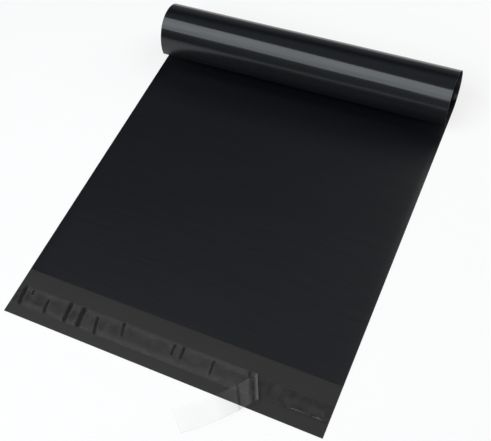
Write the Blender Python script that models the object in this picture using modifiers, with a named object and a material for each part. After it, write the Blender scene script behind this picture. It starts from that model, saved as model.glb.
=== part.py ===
"""A black poly mailer bag, 10 by 14 inches, lying flat with its far end curled over towards the lip.

The bag is one web of co-extruded polyethylene film, black outside and grey inside. It is folded
once at the bottom and welded along both sides. The back ply runs on past the mouth as a lip, which
carries a band of hot melt adhesive under a clear release liner. The liner's right end is peeled
back on a slanted fold, and its tail hangs over the lip's free edge.

Frame: metres, +Z up, X across the bag, +Y from the lip's free edge towards the curl. The origin is
on the underside, at the middle of the length that lies flat.
"""

import math

import bmesh
import bpy
import numpy

# Film web
BAG_WIDTH = 0.254
POUCH_LENGTH = 0.356
LIP_DEPTH = 0.038
FILM = 0.0000635
POCKET_GAP = 0.00025
WELD_WIDTH = 0.002
WELD_THICKNESS = 0.00016
FOLD_TAPER = 0.0006

# Curl at the far end
FLAT_LENGTH = 0.2873
CURL_TURN = math.radians(302.6)
CURL_STEP = math.radians(5.0)
LOOSE_FROM = math.radians(232.0)
LOOSE_OVER = math.radians(67.0)
LOOSE_SHARE = 0.267
TURN_PASSES = 8
FLAT_STEP = 0.036

# Adhesive band on the lip
SEAT = 0.0003
STRIP_CENTRE = 0.0164
ADHESIVE_WIDTH = 0.0125
ADHESIVE = 0.0001
ADHESIVE_MARGIN = 0.0015

# Release liner
LINER = 0.00005
LINER_WIDTH = 0.0162
LINER_START = 0.0045
LINER_ROWS = 8
PILLOW_HEIGHT = 0.0006
PILLOW_STEP = 0.008
CREASES = (0.0144, 0.0290, 0.0472, 0.0586, 0.0722, 0.0940, 0.1347, 0.1421, 0.1660, 0.1925)
CREASE_SLANT = 0.16
CREASE_REACH = 0.0016

# Peeled end of the liner
PEEL_AT = 0.1990
PEEL_SLANT = math.radians(26.0)
PEEL_RADIUS = 0.0021
PEEL_STEP = 0.0009
TAIL_LENGTH = 0.066
TAIL_STEP = 0.005
TAIL_DROP = 0.0022
TAIL_LIFT = 0.0026
TAIL_CUP = 0.0012
TAIL_SWEEP = math.radians(18.0)

TOP_OF_POUCH = 2 * FILM + POCKET_GAP
HALF_WIDTH = BAG_WIDTH / 2
WEB_LENGTH = LIP_DEPTH + POUCH_LENGTH
CURL_RADIUS = (WEB_LENGTH - FLAT_LENGTH) / CURL_TURN
LOOSE_GROWTH = LOOSE_SHARE * CURL_RADIUS
LIP_EDGE_Y = -FLAT_LENGTH / 2
ADHESIVE_Z = FILM + SEAT
LINER_Z = ADHESIVE_Z + ADHESIVE + SEAT
STRIP_Y = LIP_EDGE_Y + STRIP_CENTRE
PEEL_END = PEEL_AT + math.pi * PEEL_RADIUS / math.cos(PEEL_SLANT)


def clear_scene():
    for old in list(bpy.data.objects):
        bpy.data.objects.remove(old, do_unlink=True)


def named_collection(name):
    collection = bpy.data.collections.new(name)
    bpy.context.scene.collection.children.link(collection)
    return collection


def principled(name, colour, roughness, alpha=1.0):
    material = bpy.data.materials.new(name)
    material.use_nodes = True
    shader = material.node_tree.nodes["Principled BSDF"]
    shader.inputs["Base Color"].default_value = (*colour, 1.0)
    shader.inputs["Roughness"].default_value = roughness
    shader.inputs["Metallic"].default_value = 0.0
    shader.inputs["Alpha"].default_value = alpha
    return material


def finished_object(name, mesh_maker, material, collection):
    """One object from a bmesh, with its material, shaded smooth but sharp at its cut edges."""
    mesh = bpy.data.meshes.new(name)
    mesh_maker.to_mesh(mesh)
    mesh_maker.free()
    mesh.materials.append(material)
    mesh.shade_smooth()
    mesh.set_sharp_from_angle(angle=math.radians(40.0))
    made = bpy.data.objects.new(name, mesh)
    collection.objects.link(made)
    return made


def evenly(start, end, longest_step):
    """Values from start to end, both included, no further apart than longest_step."""
    steps = max(1, math.ceil((end - start) / longest_step - 1e-6))
    return [start + (end - start) * step / steps for step in range(steps + 1)]


def web_stations():
    """Lengths along the web where its section is cut: coarse on the flat, fine round the curl."""
    lip = evenly(0.0, LIP_DEPTH, FLAT_STEP)
    flat = evenly(LIP_DEPTH, FLAT_LENGTH, FLAT_STEP)
    curl = evenly(FLAT_LENGTH, WEB_LENGTH - FOLD_TAPER, CURL_RADIUS * CURL_STEP)
    return lip[:-1] + flat[:-1] + curl + [WEB_LENGTH - FILM, WEB_LENGTH]


def loosened(turn):
    """How much of LOOSE_OVER lies between LOOSE_FROM and a turn of the curl."""
    return max(0.0, turn - LOOSE_FROM) / LOOSE_OVER


def turn_at(rolled):
    """The turn that a length of rolled film reaches: the curl opens out towards its free end."""
    turn = rolled / CURL_RADIUS
    for _ in range(TURN_PASSES):
        spare = LOOSE_GROWTH * LOOSE_OVER * loosened(turn) ** 3 / 3
        turn = (rolled - spare) / CURL_RADIUS
    return turn


def bend(along, above):
    """The (y, z) of a point at a length along the web and a height above its outer face."""
    if along <= FLAT_LENGTH:
        return LIP_EDGE_Y + along, above
    turn = turn_at(along - FLAT_LENGTH)
    radius = CURL_RADIUS + LOOSE_GROWTH * loosened(turn) ** 2 - above
    return (
        LIP_EDGE_Y + FLAT_LENGTH + radius * math.sin(turn),
        CURL_RADIUS - radius * math.cos(turn),
    )


def web_height(row, along, at_edge):
    """Height of one of the four film faces: outer and inner back, then inner and outer front."""
    if along < LIP_DEPTH:
        return (0.0, FILM)[row]
    if at_edge and along > LIP_DEPTH:
        return WELD_THICKNESS * row / 3
    open_heights = (0.0, FILM, FILM + POCKET_GAP, TOP_OF_POUCH)
    height = open_heights[row]
    if along == WEB_LENGTH:
        height = TOP_OF_POUCH / 2 + (height - TOP_OF_POUCH / 2) / 2
    return height


def build_film(collection):
    """The folded web: half its section as a grid, drawn out across the bag, then bent and mirrored."""
    stations = web_stations()
    grid = bmesh.new()
    bmesh.ops.create_grid(grid, x_segments=len(stations) - 1, y_segments=3, size=1.0)
    for vertex in grid.verts:
        column = round((vertex.co.x + 1.0) / 2.0 * (len(stations) - 1))
        row = round((vertex.co.y + 1.0) / 2.0 * 3)
        vertex.co = (HALF_WIDTH, column, row)

    def is_past_mouth(face):
        return stations[round(min(v.co.y for v in face.verts))] >= LIP_DEPTH

    def is_ply(face):
        """True for the back and front plies and for the film of the bottom fold."""
        middle = face.calc_center_median()
        return round(middle.z - 0.5) != 1 or middle.y > len(stations) - 2

    above_lip = [f for f in grid.faces if f.calc_center_median().z > 1.0 and not is_past_mouth(f)]
    bmesh.ops.delete(grid, geom=above_lip, context="FACES")

    weld = bmesh.ops.extrude_face_region(grid, geom=grid.faces[:], use_keep_orig=True)["geom"]
    for vertex in (item for item in weld if isinstance(item, bmesh.types.BMVert)):
        vertex.co.x = HALF_WIDTH - WELD_WIDTH
    inner = [item for item in weld if isinstance(item, bmesh.types.BMFace)]
    plies = [face for face in inner if is_ply(face)]
    drawn = bmesh.ops.extrude_face_region(grid, geom=plies)["geom"]
    for vertex in (item for item in drawn if isinstance(item, bmesh.types.BMVert)):
        vertex.co.x = 0.0
    bmesh.ops.delete(grid, geom=plies, context="FACES_ONLY")
    bmesh.ops.recalc_face_normals(grid, faces=grid.faces)
    middle_faces = [item for item in drawn if isinstance(item, bmesh.types.BMFace)]
    bmesh.ops.delete(grid, geom=middle_faces, context="FACES_ONLY")

    for vertex in grid.verts:
        along = stations[round(vertex.co.y)]
        at_edge = vertex.co.x > HALF_WIDTH - WELD_WIDTH / 2
        height = web_height(round(vertex.co.z), along, at_edge)
        vertex.co.y, vertex.co.z = bend(along, height)

    film = principled("black_polyethylene_film", (0.016, 0.016, 0.019), 0.35)
    made = finished_object("mailer_film", grid, film, collection)
    mirror = made.modifiers.new("other_half", "MIRROR")
    mirror.use_axis = (True, False, False)
    mirror.merge_threshold = 0.00001
    return made


def build_adhesive(collection):
    """The hot melt band: a thin slab that stops just short of the side edges."""
    slab = bmesh.new()
    bmesh.ops.create_cube(slab, size=1.0)
    for vertex in slab.verts:
        vertex.co.x *= BAG_WIDTH - 2 * ADHESIVE_MARGIN
        vertex.co.y = STRIP_Y + vertex.co.y * ADHESIVE_WIDTH
        vertex.co.z = ADHESIVE_Z + (vertex.co.z + 0.5) * ADHESIVE
    glue = principled("hot_melt_adhesive", (0.045, 0.045, 0.045), 0.12)
    return finished_object("adhesive_strip", slab, glue, collection)


def liner_stations():
    """Lengths along the liner: close at each crease and round the peel fold, coarse elsewhere."""
    marks = [LINER_START, *CREASES]
    stations = []
    for near, far in zip(marks, marks[1:]):
        stations += [near]
        stations += evenly(near + CREASE_REACH, far - CREASE_REACH, PILLOW_STEP)
    stations += evenly(CREASES[-1], PEEL_AT, PILLOW_STEP)[:-1]
    stations += evenly(PEEL_AT, PEEL_END, PEEL_STEP)[:-1]
    stations += evenly(PEEL_END, PEEL_AT + TAIL_LENGTH, TAIL_STEP)
    return stations


def lean(station):
    """Slope of a crosswise line of the liner: along the creases, then along the fold, square at the ends."""
    marks = [LINER_START, CREASES[0], CREASES[-1], PEEL_AT, PEEL_END, PEEL_AT + TAIL_LENGTH]
    fold = math.tan(PEEL_SLANT)
    return float(numpy.interp(station, marks, [0.0, CREASE_SLANT, CREASE_SLANT, fold, fold, 0.0]))


def pillow(station, across):
    """How far the liner stands off the adhesive: it is pinned at each crease and free between."""
    if station > CREASES[-1]:
        return 0.0
    nearest = min(abs(station - mark) for mark in (LINER_START, *CREASES))
    edge = 1.0 - (2.0 * across / LINER_WIDTH) ** 4
    return PILLOW_HEIGHT * edge * math.sin(min(1.0, nearest / CREASE_REACH) * math.pi / 2)


def tail_lift(share):
    """Height of the tail over the fold's start: it sinks towards the lip, then curls up."""
    return 2 * PEEL_RADIUS - TAIL_DROP * math.sin(math.pi * share) + TAIL_LIFT * share**3


def peel(along, across):
    """A point of the flat liner carried round the slanted fold: the fold is a half turn of a rod."""
    tangent = (-math.sin(PEEL_SLANT), math.cos(PEEL_SLANT))
    normal = (math.cos(PEEL_SLANT), math.sin(PEEL_SLANT))
    reach = along - PEEL_AT
    beyond = reach * normal[0] + across * normal[1]
    beside = reach * tangent[0] + across * tangent[1]
    half_turn = math.pi * PEEL_RADIUS
    if beyond <= 0.0:
        out, lift = beyond, 0.0
    elif beyond < half_turn:
        out = PEEL_RADIUS * math.sin(beyond / PEEL_RADIUS)
        lift = PEEL_RADIUS * (1.0 - math.cos(beyond / PEEL_RADIUS))
    else:
        share = (beyond - half_turn) / TAIL_LENGTH
        out = half_turn - beyond
        beside += TAIL_LENGTH * TAIL_SWEEP * share**2 / 2
        lift = tail_lift(share) + TAIL_CUP * share * (2.0 * across / LINER_WIDTH) ** 2
    x = PEEL_AT + beside * tangent[0] + out * normal[0]
    y = beside * tangent[1] + out * normal[1]
    return x, y, lift


def build_liner(collection):
    """The release liner: one ribbon, pillowed along the lip, turned back at the fold, with its tail."""
    stations = liner_stations()
    ribbon = bmesh.new()
    bmesh.ops.create_grid(ribbon, x_segments=len(stations) - 1, y_segments=LINER_ROWS, size=1.0)
    for vertex in ribbon.verts:
        station = stations[round((vertex.co.x + 1.0) / 2.0 * (len(stations) - 1))]
        across = vertex.co.y * LINER_WIDTH / 2
        x, y, lift = peel(station - lean(station) * across, across)
        vertex.co = (x - HALF_WIDTH, STRIP_Y + y, LINER_Z + lift + pillow(station, across))
    clear = principled("clear_release_liner", (0.35, 0.36, 0.37), 0.2, 0.45)
    made = finished_object("release_liner", ribbon, clear, collection)
    wall = made.modifiers.new("liner_thickness", "SOLIDIFY")
    wall.thickness = LINER
    wall.offset = 1.0
    return made


clear_scene()
mailer = named_collection("poly_mailer_bag")
build_film(mailer)
build_adhesive(mailer)
build_liner(mailer)
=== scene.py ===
import math

import bmesh
import bpy
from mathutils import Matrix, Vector, noise


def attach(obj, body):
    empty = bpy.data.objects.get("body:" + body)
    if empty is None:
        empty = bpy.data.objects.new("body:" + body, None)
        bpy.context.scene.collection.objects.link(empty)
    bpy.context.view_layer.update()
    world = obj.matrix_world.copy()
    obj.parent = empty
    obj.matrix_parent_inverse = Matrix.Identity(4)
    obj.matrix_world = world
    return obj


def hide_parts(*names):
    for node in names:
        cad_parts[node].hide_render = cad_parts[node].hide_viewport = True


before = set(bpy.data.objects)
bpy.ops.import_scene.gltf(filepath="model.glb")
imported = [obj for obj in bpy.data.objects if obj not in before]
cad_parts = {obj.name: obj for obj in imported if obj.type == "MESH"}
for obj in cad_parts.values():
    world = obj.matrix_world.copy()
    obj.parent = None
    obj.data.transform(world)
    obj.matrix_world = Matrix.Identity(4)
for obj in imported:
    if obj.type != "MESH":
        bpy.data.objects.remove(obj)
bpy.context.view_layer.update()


# The bag: one web of blown polyethylene film, black outside and grey inside. It is folded at the
# bottom, welded down both sides by a hot knife, and left longer at the back to make the lip.
# The film lies loose: the front ply floats on the back one, and the far end has curled over.
BAG_WIDTH = 0.254
POUCH_LENGTH = 0.356
LIP_DEPTH = 0.038
FILM = 0.0000635
POCKET_GAP = 0.00025
WELD_WIDTH = 0.002
WELD_THICKNESS = 0.00016
FLAT_LENGTH = 0.2873
CURL_TURN = math.radians(302.6)
LOOSE_SHARE = 0.267
LOOSE_FROM = math.radians(232.0)
LOOSE_OVER = math.radians(67.0)

WEB_LENGTH = LIP_DEPTH + POUCH_LENGTH
CURL_RADIUS = (WEB_LENGTH - FLAT_LENGTH) / CURL_TURN
LOOSE_GROWTH = LOOSE_SHARE * CURL_RADIUS
HALF_WIDTH = BAG_WIDTH / 2
LIP_EDGE_Y = -FLAT_LENGTH / 2
TOP_OF_POUCH = 2 * FILM + POCKET_GAP

# How finely the web is cut, and how close the rows stand at the mouth and the bottom fold.
ACROSS_STEP = 0.004
FLAT_STEP = 0.004
CURL_STEP = 0.001
MOUTH_STEP = 0.0005
MOUTH_REACH = 0.003
EDGE_STEP = 0.00025
SHARP_FROM = math.radians(50.0)

# How the front ply floats: long waves, puckers beside the welds, and a mouth that stands up.
WAVE_HEIGHT = 0.00010
WAVE_SIZE = 0.055
WELD_HOLDS = 0.006
PUCKER_HEIGHT = 0.00012
PUCKER_PITCH = 0.009
PUCKER_REACH = 0.012
MOUTH_LIFT = 0.00030
LIFT_REACH = 0.012

# How the curl's radius drifts, across the bag and along the web.
CURL_DRIFT = 0.00025
DRIFT_ACROSS = 0.09
DRIFT_ALONG = 0.03


def linear(hex_colour):
    """An sRGB hex value as a linear RGBA colour."""
    channels = [int(hex_colour[i : i + 2], 16) / 255 for i in (1, 3, 5)]
    turned = [c / 12.92 if c <= 0.04045 else ((c + 0.055) / 1.055) ** 2.4 for c in channels]
    return (*turned, 1.0)


def evenly(start, end, longest_step):
    """Values from start to end, both included, no further apart than longest_step."""
    steps = max(1, math.ceil((end - start) / longest_step - 1e-6))
    return [start + (end - start) * step / steps for step in range(steps + 1)]


def add_node(material, kind, settings=None, values=None, links=None):
    """One node of a material, with its settings, its sockets' values and what feeds its sockets."""
    node = material.node_tree.nodes.new(kind)
    for name, value in (settings or {}).items():
        setattr(node, name, value)
    for socket, value in (values or {}).items():
        node.inputs[socket].default_value = value
    for socket, source in (links or {}).items():
        material.node_tree.links.new(source, node.inputs[socket])
    return node


def new_material(name):
    material = bpy.data.materials.new(name)
    material.use_nodes = True
    return material, material.node_tree.nodes["Principled BSDF"]


def smooth_noise(x, y, seed=0.0):
    """Noise that wanders between about -1 and 1, with a bump for each unit of x and y."""
    return noise.noise(Vector((x, y, seed)))


def bell(distance, width):
    """1 in the middle, fading smoothly to nothing at about twice the width."""
    return math.exp(-((distance / width) ** 2))


def film_stations():
    """Lengths along the web: fine at the mouth and round the curl, finest at the bottom fold."""
    flat = evenly(0.0, LIP_DEPTH - MOUTH_REACH, FLAT_STEP)[:-1]
    flat += evenly(LIP_DEPTH - MOUTH_REACH, LIP_DEPTH, MOUTH_STEP)[:-1]
    flat += evenly(LIP_DEPTH, LIP_DEPTH + MOUTH_REACH, MOUTH_STEP)[:-1]
    flat += evenly(LIP_DEPTH + MOUTH_REACH, FLAT_LENGTH, FLAT_STEP)[:-1]
    curl = evenly(FLAT_LENGTH, WEB_LENGTH - 2 * EDGE_STEP, CURL_STEP)
    return flat + curl + [WEB_LENGTH - FILM, WEB_LENGTH]


def loosened(turn):
    """How much of LOOSE_OVER lies between LOOSE_FROM and a turn of the curl."""
    return max(0.0, turn - LOOSE_FROM) / LOOSE_OVER


def turn_at(rolled):
    """The angle that a length of rolled film reaches. The curl opens towards its free end, which
    takes up film, so the answer is found in a few rounds."""
    turn = rolled / CURL_RADIUS
    for _ in range(8):
        spare = LOOSE_GROWTH * LOOSE_OVER * loosened(turn) ** 3 / 3
        turn = (rolled - spare) / CURL_RADIUS
    return turn


def float_height(x, along):
    """How far the loose ply stands off: long waves, puckers beside the welds and a raised mouth."""
    from_side = HALF_WIDTH - WELD_WIDTH - abs(x)
    free = 1.0 - bell(from_side, WELD_HOLDS)
    wave = 1.0 + smooth_noise(x / WAVE_SIZE, along / WAVE_SIZE)
    phase = along / PUCKER_PITCH * math.tau + 2.0 * smooth_noise(0.0, along / WAVE_SIZE, 4.0)
    pucker = bell(from_side, PUCKER_REACH) * min(1.0, from_side / WELD_WIDTH)
    uneven = 0.6 + 0.4 * smooth_noise(x / WAVE_SIZE, 0.0, 7.0)
    mouth = uneven * bell(along - LIP_DEPTH, LIFT_REACH)
    height = free * (WAVE_HEIGHT * wave + MOUTH_LIFT * mouth)
    return height + PUCKER_HEIGHT * pucker * (1.0 + math.sin(phase)) / 2


def film_point(x, along, row, at_edge):
    """Where a point of the web lies: its row's height and ripples, then the bend of the curl."""
    if along < LIP_DEPTH:
        height = (0.0, FILM)[row]
    elif at_edge and along > LIP_DEPTH:
        height = WELD_THICKNESS * row / 3
    else:
        height = (0.0, FILM, FILM + POCKET_GAP, TOP_OF_POUCH)[row]
        if along == WEB_LENGTH:
            height = (height + TOP_OF_POUCH / 2) / 2
        if row > 1:
            height += float_height(x, along)
    if along <= FLAT_LENGTH:
        return x, LIP_EDGE_Y + along, height
    turn = turn_at(along - FLAT_LENGTH)
    wander = smooth_noise(x / DRIFT_ACROSS, along / DRIFT_ALONG, 2.0)
    drift = CURL_DRIFT * math.sin(turn / 2) * wander
    radius = CURL_RADIUS + LOOSE_GROWTH * loosened(turn) ** 2 - height + drift
    y = LIP_EDGE_Y + FLAT_LENGTH + radius * math.sin(turn)
    return x, y, CURL_RADIUS - radius * math.cos(turn)


def moved(geometry, x):
    """Puts the vertices that an extrusion has just made at x, and gives back its faces."""
    for vertex in (item for item in geometry if isinstance(item, bmesh.types.BMVert)):
        vertex.co.x = x
    return [item for item in geometry if isinstance(item, bmesh.types.BMFace)]


def folded_film():
    """The web's section as a grid, one row for each face of the two plies. It is drawn across the
    bag, first as the weld and then as the two loose plies, cut fine, mirrored and bent to shape."""
    stations = film_stations()
    last = len(stations) - 1
    web = bmesh.new()
    bmesh.ops.create_grid(web, x_segments=last, y_segments=3, size=1.0)
    for vertex in web.verts:
        column = round((vertex.co.x + 1.0) / 2.0 * last)
        vertex.co = (HALF_WIDTH, column, round((vertex.co.y + 1.0) / 2.0 * 3))
    mouth = stations.index(LIP_DEPTH)
    above_lip = []
    for face in web.faces:
        middle = face.calc_center_median()
        if middle.z > 1 and middle.y < mouth:
            above_lip.append(face)
    bmesh.ops.delete(web, geom=above_lip, context="FACES")
    weld = bmesh.ops.extrude_face_region(web, geom=web.faces[:], use_keep_orig=True)["geom"]
    inner = moved(weld, HALF_WIDTH - WELD_WIDTH)
    plies = []
    for face in inner:
        middle = face.calc_center_median()
        if abs(middle.z - 1.5) > 0.6 or middle.y > last - 1:
            plies.append(face)
    drawn = bmesh.ops.extrude_face_region(web, geom=plies)["geom"]
    middle_faces = moved(drawn, 0.0)
    bmesh.ops.delete(web, geom=plies, context="FACES_ONLY")
    bmesh.ops.recalc_face_normals(web, faces=web.faces)
    bmesh.ops.delete(web, geom=middle_faces, context="FACES_ONLY")
    crosswise = [e for e in web.edges if abs(e.verts[0].co.x - e.verts[1].co.x) > HALF_WIDTH / 2]
    cuts = round(HALF_WIDTH / ACROSS_STEP)
    bmesh.ops.subdivide_edges(web, edges=crosswise, cuts=cuts, use_grid_fill=True)
    whole = web.verts[:] + web.edges[:] + web.faces[:]
    bmesh.ops.mirror(web, geom=whole, axis="X", merge_dist=1e-5)
    bmesh.ops.remove_doubles(web, verts=web.verts, dist=1e-6)
    for face in web.faces:
        middle = face.calc_center_median()
        rows = [round(v.co.z) for v in face.verts]
        on_lip = middle.y < mouth and min(rows) == 1
        unwelded = middle.y < last - 1 and abs(middle.x) < HALF_WIDTH - WELD_WIDTH
        in_pocket = unwelded and set(rows) in ({1}, {2})
        face.material_index = 1 if on_lip or in_pocket else 0
        face.smooth = True
    for vertex in web.verts:
        along = stations[round(vertex.co.y)]
        at_edge = abs(vertex.co.x) > HALF_WIDTH - WELD_WIDTH / 2
        vertex.co = film_point(vertex.co.x, along, round(vertex.co.z), at_edge)
    return web


def as_piece(name, shape, materials):
    """A finished object from a bmesh: at the origin, with its place in its mesh."""
    mesh = bpy.data.meshes.new(name)
    shape.to_mesh(mesh)
    shape.free()
    for material in materials:
        mesh.materials.append(material)
    mesh.set_sharp_from_angle(angle=SHARP_FROM)
    made = bpy.data.objects.new(name, mesh)
    bpy.context.scene.collection.objects.link(made)
    return made


DIE_LINE_LENGTH = 0.070
DIE_LINE_GAP = 0.0024
DIE_LINE_DEPTH = 0.00008
POLYETHYLENE_IOR = 1.51


def die_lines(material, place):
    """The fine lines that the die leaves in blown film. They run across the bag, the way the web
    ran on the machine. The real ones are far finer: these are drawn coarser, so that they show."""
    stretched = add_node(
        material,
        "ShaderNodeMapping",
        values={"Scale": (1 / DIE_LINE_LENGTH, 1 / DIE_LINE_GAP, 1 / DIE_LINE_GAP)},
        links={"Vector": place.outputs["Object"]},
    )
    return add_node(
        material,
        "ShaderNodeTexNoise",
        values={"Scale": 1.0, "Detail": 3.0},
        links={"Vector": stretched.outputs["Vector"]},
    )


def scored(material, lines, strength):
    """Gives a film's surface the shallow relief of its die lines."""
    relief = add_node(
        material,
        "ShaderNodeBump",
        values={"Strength": strength, "Distance": DIE_LINE_DEPTH},
        links={"Height": lines.outputs["Fac"]},
    )
    shader = material.node_tree.nodes["Principled BSDF"]
    material.node_tree.links.new(relief.outputs["Normal"], shader.inputs["Normal"])


def clouded(material, place, size, dark, light):
    """A base colour that drifts between two shades in clouds of a given size."""
    cloud = add_node(
        material,
        "ShaderNodeTexNoise",
        values={"Scale": 1 / size, "Detail": 2.0},
        links={"Vector": place.outputs["Object"]},
    )
    shade = add_node(
        material,
        "ShaderNodeMix",
        {"data_type": "RGBA"},
        {"A": linear(dark), "B": linear(light)},
        {"Factor": cloud.outputs["Fac"]},
    )
    shader = material.node_tree.nodes["Principled BSDF"]
    material.node_tree.links.new(shade.outputs["Result"], shader.inputs["Base Color"])


# Up the curl the black film goes from satin to glossy. In the stretch before the curl it is dull:
# it fades there along Y, and comes back at once where the film leaves the flat.
SATIN_BELOW, SATIN = 0.014, 0.30
GLOSSY_ABOVE, GLOSSY = 0.032, 0.13
DULL_FROM, DULL_AT = 0.060, 0.105
BACK_WITH_HEIGHT = -20.0
DULL_LEVEL = 0.10


def black_film():
    """Carbon black polyethylene, blown: nearly black, in clouds some 55 mm across. It is satin
    where it lies loose and glossy on top of the curl, where it is drawn tight, with a few faint
    streaks. In the stretch before the curl the photo shows almost no shine, so it is dull there."""
    material, shader = new_material("black_blown_polyethylene")
    place = add_node(material, "ShaderNodeTexCoord")
    clouded(material, place, 0.055, "#0c0d10", "#101115")
    lines = die_lines(material, place)
    scored(material, lines, 0.35)
    spot = add_node(
        material, "ShaderNodeSeparateXYZ", links={"Vector": place.outputs["Object"]}
    )
    drawn_tight = add_node(
        material,
        "ShaderNodeMapRange",
        values={
            "From Min": SATIN_BELOW,
            "From Max": GLOSSY_ABOVE,
            "To Min": SATIN,
            "To Max": GLOSSY,
        },
        links={"Value": spot.outputs["Z"]},
    )
    before_curl = add_node(
        material,
        "ShaderNodeMath",
        {"operation": "MULTIPLY_ADD"},
        {1: BACK_WITH_HEIGHT},
        {0: spot.outputs["Z"], 2: spot.outputs["Y"]},
    )
    streaks = add_node(
        material,
        "ShaderNodeMapRange",
        values={"From Min": 0.35, "From Max": 0.65, "To Min": 0.47, "To Max": 0.53},
        links={"Value": lines.outputs["Fac"]},
    )
    shine = add_node(
        material,
        "ShaderNodeMapRange",
        {"interpolation_type": "SMOOTHSTEP"},
        {"From Min": DULL_FROM, "From Max": DULL_AT, "To Max": DULL_LEVEL},
        {"Value": before_curl.outputs["Value"], "To Min": streaks.outputs["Result"]},
    )
    material.node_tree.links.new(drawn_tight.outputs["Result"], shader.inputs["Roughness"])
    material.node_tree.links.new(shine.outputs["Result"], shader.inputs["Specular IOR Level"])
    shader.inputs["IOR"].default_value = POLYETHYLENE_IOR
    return material


def grey_film():
    """The web's inner layer, which shows on the lip: warm grey polyethylene, blown together with
    the black and a little duller, in clouds some 45 mm across."""
    material, shader = new_material("grey_blown_polyethylene")
    place = add_node(material, "ShaderNodeTexCoord")
    clouded(material, place, 0.045, "#23201e", "#282523")
    scored(material, die_lines(material, place), 0.3)
    shader.inputs["Roughness"].default_value = 0.36
    shader.inputs["IOR"].default_value = POLYETHYLENE_IOR
    return material


film = as_piece("folded_film", folded_film(), [black_film(), grey_film()])
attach(film, "root")
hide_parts("mailer_film")


# The closing strip: a band of clear hot melt, coated along the lip's grey side. It is bare at the
# right, where the liner is off it, and a few thick strings there catch the light.
SEAT = 0.0003
STRIP_CENTRE = 0.0164
ADHESIVE_WIDTH = 0.0125
ADHESIVE = 0.0001
ADHESIVE_MARGIN = 0.0015
ADHESIVE_Z = FILM + SEAT
STRIP_Y = LIP_EDGE_Y + STRIP_CENTRE
GLUE_STEP = 0.001
GLUE_ROWS = 24
GLUE_WANDER = 0.0004
GLUE_RIPPLE = 0.00004

# Each string: where it starts and ends across the bag, its place across the band, its half width.
STRINGS = ((0.0995, 0.1105, -0.0050, 0.0005), (0.1150, 0.1235, -0.0050, 0.0005))
STRING_HEIGHT = 0.00040
STRING_BOW = 0.0004
STRING_TAPER = 0.0015


def ramp(value):
    """The value, held between 0 and 1."""
    return min(1.0, max(0.0, value))


def glue_band():
    """A thin slab with wandering edges, a rippled top and a few raised strings."""
    reach = HALF_WIDTH - ADHESIVE_MARGIN
    band = bmesh.new()
    columns = round(2 * reach / GLUE_STEP)
    bmesh.ops.create_grid(band, x_segments=columns, y_segments=GLUE_ROWS, size=1.0)
    for vertex in band.verts:
        x = vertex.co.x * reach
        wander = GLUE_WANDER * smooth_noise(x / 0.012, vertex.co.y, 11.0) * abs(vertex.co.y)
        across = vertex.co.y * ADHESIVE_WIDTH / 2 + wander
        ripple = GLUE_RIPPLE * smooth_noise(x / 0.006, across / 0.002, 13.0)
        string = 0.0
        for start, end, middle, width in STRINGS:
            inside = ramp((x - start) / STRING_TAPER) * ramp((end - x) / STRING_TAPER)
            bow = middle + STRING_BOW * math.sin((x - start) / (end - start) * math.pi)
            string += STRING_HEIGHT * inside * bell(across - bow, width)
        vertex.co = (x, STRIP_Y + across, ADHESIVE_Z + ADHESIVE + ripple + string)
    lower = bmesh.ops.extrude_face_region(band, geom=band.faces[:], use_keep_orig=True)["geom"]
    for vertex in (item for item in lower if isinstance(item, bmesh.types.BMVert)):
        vertex.co.z = ADHESIVE_Z
    bmesh.ops.recalc_face_normals(band, faces=band.faces)
    for face in band.faces:
        face.smooth = True
    return band


def hot_melt():
    """Clear pressure sensitive hot melt, rolled on: a wet gloss over the grey film, with thin and
    thick blots some 6 mm across."""
    material, shader = new_material("clear_hot_melt")
    place = add_node(material, "ShaderNodeTexCoord")
    clouded(material, place, 0.006, "#161514", "#504e4d")
    shader.inputs["Roughness"].default_value = 0.22
    shader.inputs["IOR"].default_value = 1.48
    shader.inputs["Alpha"].default_value = 0.5
    return material


glue = as_piece("hot_melt_band", glue_band(), [hot_melt()])
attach(glue, "root")
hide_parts("adhesive_strip")


# The release liner: a ribbon of clear, silicone coated film over the hot melt. It is pinned at a
# few slanted creases and stands off as pillows between them. The right end is peeled back over a
# slanted fold, and the loose tail hangs over the lip's free edge.
LINER = 0.00005
LINER_WIDTH = 0.0162
LINER_START = 0.0045
LINER_Z = ADHESIVE_Z + ADHESIVE + SEAT
LINER_ROWS = 40
LINER_STEP = 0.0006
FOLD_STEP = 0.0003
PILLOW_HEIGHT = 0.0006
PILLOW_START = 0.0015
PEEL_AT = 0.1990
PEEL_LEVEL = 0.004
PEEL_SLANT = math.radians(26.0)
PEEL_RADIUS = 0.0021
PEEL_END = PEEL_AT + math.pi * PEEL_RADIUS / math.cos(PEEL_SLANT)
LEAN_FROM = 0.170
TAIL_LENGTH = 0.066
TAIL_DROP = 0.0022
TAIL_LIFT = 0.0026
TAIL_CUP = 0.0012
TAIL_SWEEP = math.radians(18.0)

# The two valleys behind the fold: how far past it, and their half widths. Then their depth, and the
# stretch over which the bent film stays cloudy.
VALLEYS = ((0.0012, 0.0024), (0.0125, 0.0011))
VALLEY_DEPTH = 0.0012
CLOUDY_REACH = 0.030

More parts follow.
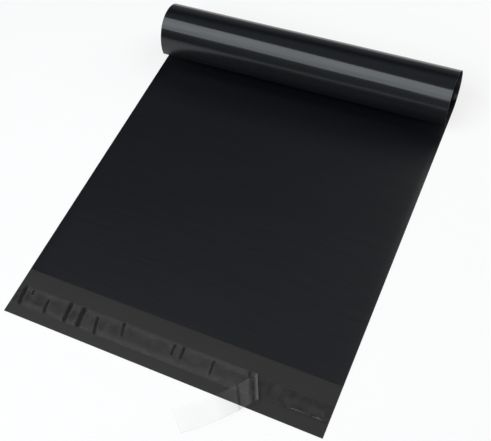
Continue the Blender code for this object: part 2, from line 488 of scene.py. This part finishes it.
# Each crease that pins the liner: how far along it is, its half width, the stretch of the liner's
# width that it crosses, how far it leans, and how firmly it sticks.
CREASES = (
    (0.0067, 0.0020, (-0.0080, 0.0080), 0.15, 0.95),
    (0.0144, 0.0012, (0.0015, 0.0070), 0.15, 0.75),
    (0.0290, 0.0014, (-0.0080, 0.0040), 0.18, 0.8),
    (0.0472, 0.0018, (-0.0080, 0.0080), 0.12, 1.0),
    (0.0586, 0.0022, (-0.0080, 0.0080), 0.14, 0.95),
    (0.0722, 0.0015, (-0.0085, 0.0050), 0.29, 0.85),
    (0.0940, 0.0014, (-0.0025, 0.0085), 0.31, 0.8),
    (0.1347, 0.0015, (-0.0025, 0.0070), 0.03, 0.6),
    (0.1421, 0.0016, (-0.0025, 0.0078), 0.12, 0.65),
    (0.1660, 0.0014, (-0.0050, 0.0060), 0.10, 0.6),
    (0.1952, 0.0018, (-0.0085, 0.0085), 0.46, 0.5),
)
CREASE_WANDER = 0.0004
CREASE_TAPER = 0.002


def lean(station):
    """Slope of a crosswise row of the liner: square at both ends, and as the fold at the fold."""
    if station < PEEL_AT:
        share = (station - LEAN_FROM) / (PEEL_AT - LEAN_FROM)
    else:
        share = 1.0 - (station - PEEL_END) / TAIL_LENGTH
    return math.tan(PEEL_SLANT) * ramp(share)


def pinned_at(along, across):
    """From 0 where the liner stands off the hot melt to 1 where a crease presses it down."""
    deepest = 0.0
    for middle, width, (low, high), slope, hold in CREASES:
        wander = CREASE_WANDER * smooth_noise(across / 0.004, middle * 300.0, 21.0)
        low_end = ramp((across - low) / CREASE_TAPER + 0.5)
        ends = low_end * ramp((high - across) / CREASE_TAPER + 0.5)
        away = along - middle + slope * across + wander
        deepest = max(deepest, hold * ends * bell(away, width))
    return deepest


def peeled(along, across):
    """A point of the flat liner carried round the slanted fold: its x, its y and its lift."""
    tangent = (-math.sin(PEEL_SLANT), math.cos(PEEL_SLANT))
    normal = (math.cos(PEEL_SLANT), math.sin(PEEL_SLANT))
    reach = along - PEEL_AT
    beyond = reach * normal[0] + across * normal[1]
    beside = reach * tangent[0] + across * tangent[1]
    half_turn = math.pi * PEEL_RADIUS
    if beyond <= 0.0:
        out, lift = beyond, 0.0
    elif beyond < half_turn:
        out = PEEL_RADIUS * math.sin(beyond / PEEL_RADIUS)
        lift = PEEL_RADIUS * (1.0 - math.cos(beyond / PEEL_RADIUS))
    else:
        share = (beyond - half_turn) / TAIL_LENGTH
        out = half_turn - beyond
        beside += TAIL_LENGTH * TAIL_SWEEP * share**2 / 2
        lift = 2 * PEEL_RADIUS - TAIL_DROP * math.sin(math.pi * share) + TAIL_LIFT * share**3
        lift += TAIL_CUP * share * (2.0 * across / LINER_WIDTH) ** 2
    x = PEEL_AT + beside * tangent[0] + out * normal[0]
    y = beside * tangent[1] + out * normal[1]
    return x, y, lift


def pillow(station, along, across):
    """How far the laid liner stands off: a low arch across it, level at its start and the fold."""
    rim = abs(2.0 * across / LINER_WIDTH)
    level = ramp((PEEL_AT - station) / PEEL_LEVEL)
    start = min(1.0, (station - LINER_START) / PILLOW_START)
    uneven = 1.0 + 0.25 * smooth_noise(along / 0.006, across / 0.005, 31.0)
    return PILLOW_HEIGHT * level * start * (1.0 - rim**2.5) * uneven


def laid_haze_and_sheen(along, across):
    """How cloudy the laid liner is: more towards the peel and in soft patches, and lighter along
    its rims, which is a painted sheen.
    """
    rim = abs(2.0 * across / LINER_WIDTH)
    patch = smooth_noise(along / 0.007, across / 0.006, 41.0)
    # The rims are made lighter: a painted sheen.
    return 0.75 * along / PEEL_AT + 1.1 * bell(rim - 0.72, 0.26) + 0.5 * patch


def valleys_at(station):
    """From 0 to about a half: how deep in one of the two valleys behind the fold a row lies."""
    return sum(0.5 * bell(station - PEEL_END - middle, width) for middle, width in VALLEYS)


def bent_haze_and_painted_light(station, valleys):
    """How cloudy the peeled liner is: most beside the valleys and clearer in them, which is painted
    shade, with a painted highlight as a bright line over the fold.
    """
    turned = (station - PEEL_AT) / (PEEL_END - PEEL_AT)
    near = max(0.0, 1.0 - (station - PEEL_END) / CLOUDY_REACH)
    # A bright line of haze over the fold is a painted highlight, and the film is made clearer in
    # the valleys, a painted shade.
    fold_highlight = 1.4 * bell(turned - 0.60, 0.13)
    return 0.15 + 3.8 * near * max(0.0, 1.0 - 2.0 * valleys) + fold_highlight


def liner_ribbon():
    """The ribbon as a grid, each row carried over its pillow, its creases and the peel fold. As
    attributes, which its material reads, it keeps how far it is pressed down, with the painted
    shade of the valleys behind the fold, and how cloudy it is, with its painted sheen and
    highlight."""
    stations = evenly(LINER_START, PEEL_AT, LINER_STEP)[:-1]
    stations += evenly(PEEL_AT, PEEL_END, FOLD_STEP)[:-1]
    stations += evenly(PEEL_END, PEEL_AT + TAIL_LENGTH, LINER_STEP)
    last = len(stations) - 1
    ribbon = bmesh.new()
    pinned = ribbon.verts.layers.float.new("pinned")
    haze = ribbon.verts.layers.float.new("haze")
    bmesh.ops.create_grid(ribbon, x_segments=last, y_segments=LINER_ROWS, size=1.0)
    for vertex in ribbon.verts:
        station = stations[round((vertex.co.x + 1.0) / 2.0 * last)]
        across = vertex.co.y * LINER_WIDTH / 2
        along = station - lean(station) * across
        x, y, lift = peeled(along, across)
        if station > PEEL_AT:
            valleys = valleys_at(station)
            # The valleys behind the fold are also painted darker here: painted shade.
            vertex[pinned] = valleys if station > PEEL_END else 0.0
            vertex[haze] = bent_haze_and_painted_light(station, valleys)
            lift -= VALLEY_DEPTH * valleys
        else:
            press = pinned_at(along, across)
            # A crease darkens the liner where it presses it down: partly the wet contact with the
            # hot melt, partly painted shade in the crease.
            vertex[pinned] = press
            vertex[haze] = laid_haze_and_sheen(along, across)
            lift += pillow(station, along, across) * (1.0 - press)
        vertex.co = (x - HALF_WIDTH, STRIP_Y + y, LINER_Z + lift)
    for face in ribbon.faces:
        face.smooth = True
    return ribbon


def release_film():
    """Clear film with a silicone coat: a faint veil, thicker where it is seen edge on or has been
    bent, with a painted sheen along its rims and a painted highlight over the fold. It is dark
    where a crease presses it into the hot melt, partly the wet contact and partly painted shade,
    and dark in the two valleys behind the fold, which is painted shade."""
    material, shader = new_material("clear_release_film")
    pinned = add_node(material, "ShaderNodeAttribute", {"attribute_name": "pinned"})
    haze = add_node(material, "ShaderNodeAttribute", {"attribute_name": "haze"})
    veil = add_node(
        material,
        "ShaderNodeMapRange",
        {"clamp": False},
        {"To Min": 0.0, "To Max": 0.030},
        {"Value": haze.outputs["Fac"]},
    )
    edge_on = add_node(material, "ShaderNodeFresnel", values={"IOR": 1.45})
    sheen = add_node(
        material,
        "ShaderNodeMath",
        {"operation": "MULTIPLY_ADD"},
        {1: 0.2},
        {0: edge_on.outputs["Fac"], 2: veil.outputs["Result"]},
    )
    cover = add_node(
        material,
        "ShaderNodeMix",
        {"data_type": "FLOAT"},
        {"B": 0.30},
        {"Factor": pinned.outputs["Fac"], "A": sheen.outputs["Value"]},
    )
    # The liner darkens with the press and the valleys: partly the wet contact with the hot melt,
    # partly painted shade.
    wet = add_node(
        material,
        "ShaderNodeMapRange",
        values={"From Max": 0.5},
        links={"Value": pinned.outputs["Fac"]},
    )
    shade = add_node(
        material,
        "ShaderNodeMix",
        {"data_type": "RGBA"},
        {"A": linear("#8f8b87"), "B": linear("#1f1e1d")},
        {"Factor": wet.outputs["Result"]},
    )
    material.node_tree.links.new(shade.outputs["Result"], shader.inputs["Base Color"])
    material.node_tree.links.new(cover.outputs["Result"], shader.inputs["Alpha"])
    shader.inputs["Roughness"].default_value = 0.16
    shader.inputs["IOR"].default_value = 1.46
    shader.inputs["Specular IOR Level"].default_value = 0.3
    return material


liner = as_piece("release_liner_ribbon", liner_ribbon(), [release_film()])
wall = liner.modifiers.new("liner_thickness", "SOLIDIFY")
wall.thickness = LINER
wall.offset = 1.0
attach(liner, "root")
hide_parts("release_liner")


# The studio: a white table, a large soft box above the bag at the front left, in two panels of
# which the lower is a little weaker, a weaker soft box at the back right, and a dim room that is
# brighter overhead. The large one is what the curl mirrors as its highlight.
FLOOR_SIZE = 30.0
FLOOR_DROP = 0.0003
PLAIN_WHITE = 0.7
CAMERA_PLACE = (0.19847, -0.27862, 0.50520)
CAMERA_TURN = (32.412, 6.729, 24.331)
CAMERA_LENS = 57.55
ROOM_BRIGHT_SIDE = (0.35, -0.45, 0.82)
KEY_PLACE = (-0.35, -0.58, 0.91)
KEY_AIM = (0.0, 0.14, 0.02)
KEY_COLOUR = (0.89, 0.96, 1.0)
FILL_PLACE = (0.62, 0.75, 0.72)
FILL_COLOUR = (1.0, 0.99, 0.97)
ROOM_COLOUR = (0.90, 0.94, 1.0, 1.0)


def pale_table():
    """Matte white laminate, in clouds some 150 mm across. The camera, a mirror and clear film see
    a part of it as plain white, so it looks white and still shows the bag's shadow."""
    material, shader = new_material("matte_white_laminate")
    place = add_node(material, "ShaderNodeTexCoord")
    clouded(material, place, 0.150, "#f9f7f5", "#fcfaf8")
    shader.inputs["Roughness"].default_value = 0.9
    shader.inputs["Specular IOR Level"].default_value = 0.1
    path = add_node(material, "ShaderNodeLightPath")
    mirrored = add_node(
        material,
        "ShaderNodeMath",
        {"operation": "ADD"},
        links={0: path.outputs["Is Glossy Ray"], 1: path.outputs["Is Transmission Ray"]},
    )
    seen = add_node(
        material,
        "ShaderNodeMath",
        {"operation": "ADD", "use_clamp": True},
        links={0: path.outputs["Is Camera Ray"], 1: mirrored.outputs["Value"]},
    )
    part = add_node(
        material,
        "ShaderNodeMath",
        {"operation": "MULTIPLY"},
        {1: PLAIN_WHITE},
        {0: seen.outputs["Value"]},
    )
    white = add_node(material, "ShaderNodeEmission", values={"Strength": 1.0})
    both = add_node(
        material,
        "ShaderNodeMixShader",
        links={0: part.outputs["Value"], 1: shader.outputs["BSDF"], 2: white.outputs["Emission"]},
    )
    output = material.node_tree.nodes["Material Output"]
    material.node_tree.links.new(both.outputs["Shader"], output.inputs["Surface"])
    return material


table = bmesh.new()
bmesh.ops.create_grid(table, x_segments=1, y_segments=1, size=FLOOR_SIZE / 2)
bmesh.ops.translate(table, verts=table.verts, vec=(0.0, 0.0, -FLOOR_DROP))
floor = as_piece("table_top", table, [pale_table()])


def soft_box(name, place, aim, rise, size, power, colour):
    """A rectangular soft box that faces its aim from its place, then raised in its own plane."""
    lamp = bpy.data.lights.new(name, "AREA")
    lamp.shape = "RECTANGLE"
    lamp.size, lamp.size_y = size
    lamp.energy = power
    lamp.color = colour
    box = bpy.data.objects.new(name, lamp)
    facing = (Vector(aim) - Vector(place)).to_track_quat("-Z", "Y")
    box.location = Vector(place) + facing @ Vector((0.0, rise, 0.0))
    box.rotation_euler = facing.to_euler()
    bpy.context.scene.collection.objects.link(box)


soft_box("key_soft_box_top", KEY_PLACE, KEY_AIM, 0.18, (1.3, 0.64), 8.10, KEY_COLOUR)
soft_box("key_soft_box_foot", KEY_PLACE, KEY_AIM, -0.32, (1.3, 0.36), 3.80, KEY_COLOUR)
soft_box("fill_soft_box", FILL_PLACE, (0.0, 0.0, 0.0), 0.0, (0.9, 0.9), 6.0, FILL_COLOUR)

world = bpy.data.worlds.new("studio_room")
bpy.context.scene.world = world
world.use_nodes = True
sky = world.node_tree.nodes["Background"]
direction = add_node(world, "ShaderNodeTexCoord")
nearness = add_node(
    world,
    "ShaderNodeVectorMath",
    {"operation": "DOT_PRODUCT"},
    {1: ROOM_BRIGHT_SIDE},
    {0: direction.outputs["Generated"]},
)
room = add_node(
    world,
    "ShaderNodeMapRange",
    values={"From Min": 0.22, "From Max": 0.52, "To Min": 0.06, "To Max": 0.30},
    links={"Value": nearness.outputs["Value"]},
)
far_wall = add_node(
    world,
    "ShaderNodeMapRange",
    values={"From Min": -0.35, "From Max": 0.15, "To Min": 0.25, "To Max": 0.0},
    links={"Value": nearness.outputs["Value"]},
)
walls = add_node(
    world,
    "ShaderNodeMath",
    {"operation": "ADD"},
    links={0: room.outputs["Result"], 1: far_wall.outputs["Result"]},
)
world.node_tree.links.new(walls.outputs["Value"], sky.inputs["Strength"])
sky.inputs["Color"].default_value = ROOM_COLOUR

lens = bpy.data.cameras.new("photo_camera")
lens.lens = CAMERA_LENS
lens.sensor_width = 36.0
lens.clip_start = 0.01
camera = bpy.data.objects.new("photo_camera", lens)
camera.location = CAMERA_PLACE
camera.rotation_euler = [math.radians(angle) for angle in CAMERA_TURN]
bpy.context.scene.collection.objects.link(camera)
bpy.context.scene.camera = camera
bpy.context.scene.view_settings.view_transform = "Standard"
